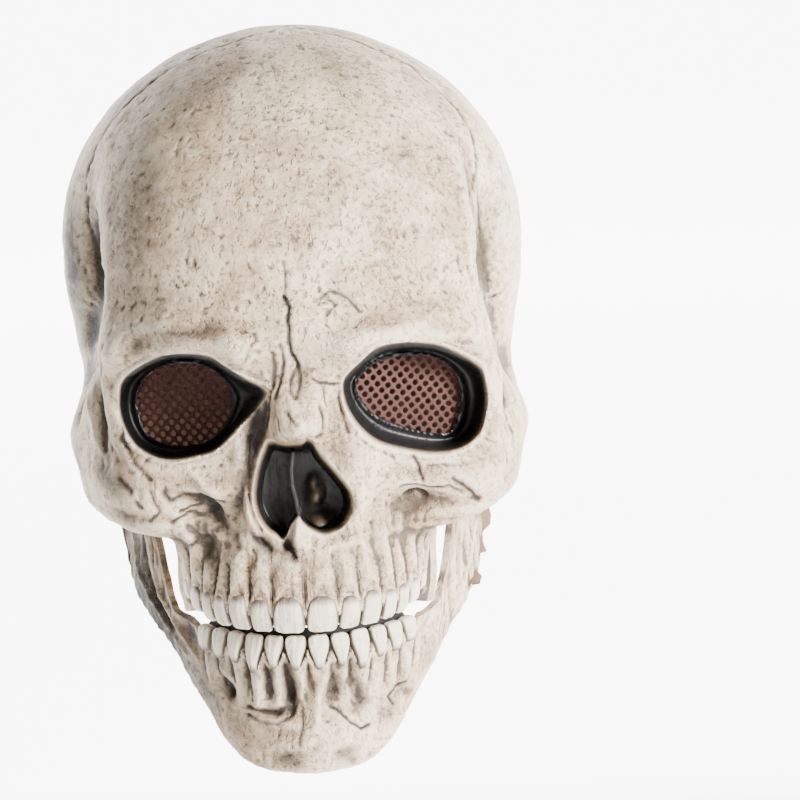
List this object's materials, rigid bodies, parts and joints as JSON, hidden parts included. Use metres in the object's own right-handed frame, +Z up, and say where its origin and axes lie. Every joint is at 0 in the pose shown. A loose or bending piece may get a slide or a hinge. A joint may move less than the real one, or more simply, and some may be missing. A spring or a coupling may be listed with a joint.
{
  "type": "skull mask",
  "caption": "Full-head skull mask: a hollow cast skull with its upper teeth, a hinged jaw with its lower teeth, and netted eye openings.",
  "frame": {"origin": "where the wearer's crown meets the inside of the skull shell, on the middle plane", "axes": "+Z up, -Y the way the face looks, +X to the right of someone who faces the mask"},
  "size_m": [0.2006, 0.2432, 0.2975],
  "materials": {
    "bone_latex": "matt painted cast latex, aged bone",
    "jaw_latex": "matt painted cast latex, aged bone",
    "eye_mesh": "stiff dark net",
    "pin_plastic": "plain"
  },
  "bodies": {
    "skull": {"skull_shell": "bone_latex", "eye_net_left": "eye_mesh", "eye_net_right": "eye_mesh", "jaw_pin_left": "pin_plastic", "jaw_pin_right": "pin_plastic"},
    "jaw": {"jaw_shell": "jaw_latex"}
  },
  "joints": [
    {"name": "jaw_hinge", "type": "hinge", "parent": "skull", "child": "jaw", "pos_m": [0, -0.0145, -0.1701], "axis": [1, 0, 0], "range_deg": [-1.5, 14]}
  ]
}
